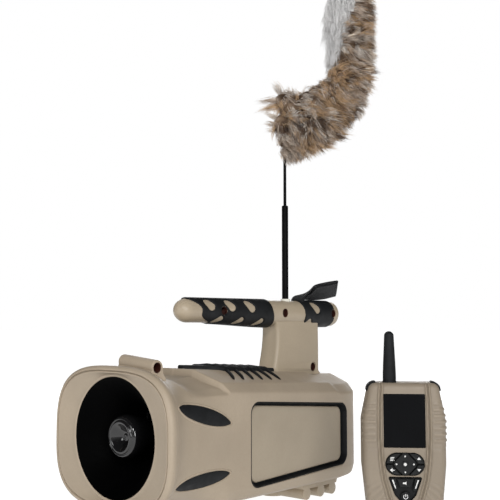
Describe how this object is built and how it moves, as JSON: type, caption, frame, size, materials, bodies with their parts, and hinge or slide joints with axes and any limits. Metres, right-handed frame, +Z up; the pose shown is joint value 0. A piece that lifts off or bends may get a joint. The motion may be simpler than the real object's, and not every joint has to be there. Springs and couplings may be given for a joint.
{
  "type": "electronic game caller",
  "caption": "Horn loudspeaker caller in a handled case with a motor-turned fur decoy on a rod, and a handheld remote control with keypad and screen.",
  "frame": {"origin": "centre of the tripod socket's mouth, on the plane that the caller stands on", "axes": "+Z up, the horn faces -Y, +X is the side that the case screws go in from"},
  "size_m": [0.3306, 0.371, 0.6429],
  "materials": {
    "tan_case": "fine-textured tan moulding",
    "tan_handle": "fine-textured tan moulding",
    "panel_tan": "smooth tan moulding",
    "tan_remote": "fine-textured tan moulding",
    "black_rubber": "soft moulded rubber",
    "remote_rubber": "tan soft-touch rubber",
    "key_rubber": "silicone key",
    "horn_black": "smooth black moulding",
    "reflector_black": "polished black moulding",
    "black_plastic": "matte black moulding",
    "button_red": "satin red",
    "light_green": "clear green lens",
    "steel": "plain steel",
    "brass": "machined brass",
    "screw_dark": "dark oxide",
    "board_green": "solder mask",
    "cell_wrap": "printed sleeve",
    "webbing": "woven nylon",
    "gear_plastic": "natural nylon",
    "rod_black": "satin black",
    "fur": "long-pile fur",
    "screen": "polished lens"
  },
  "bodies": {
    "caller": {"shell_right": "tan_case", "shell_left": "tan_case", "front_bezel": "tan_case", "horn_bell": "horn_black", "horn_reflector": "reflector_black", "driver_magnet": "steel", "driver_bracket": "black_plastic", "side_panel_right": "panel_tan", "side_panel_left": "panel_tan", "panel_gasket_right": "black_rubber", "panel_gasket_left": "black_rubber", "oval_inlays": "black_rubber", "deck_pad": "black_rubber", "rear_panel": "black_plastic", "status_light": "light_green", "speaker_jack": "steel", "circuit_board": "board_green", "battery_tray": "black_plastic", "batteries": "cell_wrap", "handle_right": "tan_handle", "handle_left": "tan_handle", "grip_front": "black_rubber", "grip_rear": "black_rubber", "case_screws": "screw_dark", "wrist_strap": "webbing", "charge_port": "steel", "decoy_motor": "steel", "spindle_bearings": "steel", "tripod_bracket": "tan_handle", "tripod_insert": "brass", "front_feet": "black_rubber"},
    "door": {"battery_door": "panel_tan"},
    "knob": {"volume_knob": "black_plastic"},
    "power": {"power_button": "button_red"},
    "cover": {"port_cover": "black_rubber"},
    "pinion": {"motor_pinion": "gear_plastic"},
    "spindle": {"decoy_spindle": "gear_plastic"},
    "rod": {"decoy_rod": "rod_black", "decoy_wire": "rod_black", "decoy_fur": "fur"},
    "remote": {"remote_front": "tan_remote", "remote_back": "tan_remote", "remote_bumpers": "black_rubber", "remote_side_strips": "remote_rubber", "remote_screen": "screen", "remote_antenna": "black_rubber", "remote_board": "board_green", "remote_cells": "cell_wrap"},
    "remote_door": {"remote_battery_door": "tan_remote"},
    "body_key_menu": {"key_menu": "key_rubber"},
    "body_key_back": {"key_back": "key_rubber"},
    "body_key_up": {"key_up": "key_rubber"},
    "body_key_down": {"key_down": "key_rubber"},
    "body_key_ring": {"key_ring": "key_rubber"},
    "body_key_select": {"key_select": "key_rubber"},
    "body_key_left": {"key_left": "key_rubber"},
    "body_key_right": {"key_right": "key_rubber"},
    "body_key_mute": {"key_mute": "key_rubber"},
    "body_key_power": {"key_power": "key_rubber"}
  },
  "joints": [
    {"name": "decoy_spin", "type": "hinge", "parent": "caller", "child": "spindle", "pos_m": [0, 0.024, 0.18], "axis": [0, 0, 1], "continuous": true},
    {"name": "motor_spin", "type": "hinge", "parent": "caller", "child": "pinion", "pos_m": [0, 0.0394, 0.18], "axis": [0, 0, 1], "continuous": true},
    {"name": "rod_pull", "type": "slide", "parent": "spindle", "child": "rod", "axis": [0, 0, 1], "range_m": [0, 0.04]},
    {"name": "volume_turn", "type": "hinge", "parent": "caller", "child": "knob", "pos_m": [-0.02, 0.1, 0.098], "axis": [0, 1, 0], "range_deg": [0, 270]},
    {"name": "power_press", "type": "slide", "parent": "caller", "child": "power", "axis": [0, -1, 0], "range_m": [0, 0.0015], "stiffness_N_per_m": 400},
    {"name": "battery_door_swing", "type": "hinge", "parent": "caller", "child": "door", "pos_m": [0, 0.1004, 0.041], "axis": [-1, 0, 0], "range_deg": [0, 95]},
    {"name": "port_cover_swing", "type": "hinge", "parent": "caller", "child": "cover", "pos_m": [0, 0.0759, 0.143], "axis": [-1, 0, 0], "range_deg": [0, 80]},
    {"name": "remote_lift", "type": "slide", "parent": "caller", "child": "remote", "axis": [0, 0, 1], "range_m": [0, 0.12]},
    {"name": "remote_door_pull", "type": "slide", "parent": "remote", "child": "remote_door", "axis": [-0.6018, 0.7986, 0], "range_m": [0, 0.02]},
    {"name": "key_menu_press", "type": "slide", "parent": "remote", "child": "body_key_menu", "axis": [-0.6018, 0.7986, 0], "range_m": [0, 0.001], "stiffness_N_per_m": 300},
    {"name": "key_back_press", "type": "slide", "parent": "remote", "child": "body_key_back", "axis": [-0.6018, 0.7986, 0], "range_m": [0, 0.001], "stiffness_N_per_m": 300},
    {"name": "key_up_press", "type": "slide", "parent": "remote", "child": "body_key_up", "axis": [-0.6018, 0.7986, 0], "range_m": [0, 0.001], "stiffness_N_per_m": 300},
    {"name": "key_down_press", "type": "slide", "parent": "remote", "child": "body_key_down", "axis": [-0.6018, 0.7986, 0], "range_m": [0, 0.001], "stiffness_N_per_m": 300},
    {"name": "key_ring_press", "type": "slide", "parent": "remote", "child": "body_key_ring", "axis": [-0.6018, 0.7986, 0], "range_m": [0, 0.001], "stiffness_N_per_m": 300},
    {"name": "key_select_press", "type": "slide", "parent": "remote", "child": "body_key_select", "axis": [-0.6018, 0.7986, 0], "range_m": [0, 0.001], "stiffness_N_per_m": 300},
    {"name": "key_left_press", "type": "slide", "parent": "remote", "child": "body_key_left", "axis": [-0.6018, 0.7986, 0], "range_m": [0, 0.001], "stiffness_N_per_m": 300},
    {"name": "key_right_press", "type": "slide", "parent": "remote", "child": "body_key_right", "axis": [-0.6018, 0.7986, 0], "range_m": [0, 0.001], "stiffness_N_per_m": 300},
    {"name": "key_mute_press", "type": "slide", "parent": "remote", "child": "body_key_mute", "axis": [-0.6018, 0.7986, 0], "range_m": [0, 0.001], "stiffness_N_per_m": 300},
    {"name": "key_power_press", "type": "slide", "parent": "remote", "child": "body_key_power", "axis": [-0.6018, 0.7986, 0], "range_m": [0, 0.001], "stiffness_N_per_m": 300}
  ],
  "couplings": [
    {"joint": "motor_spin", "follows": "decoy_spin", "ratio": -2}
  ]
}
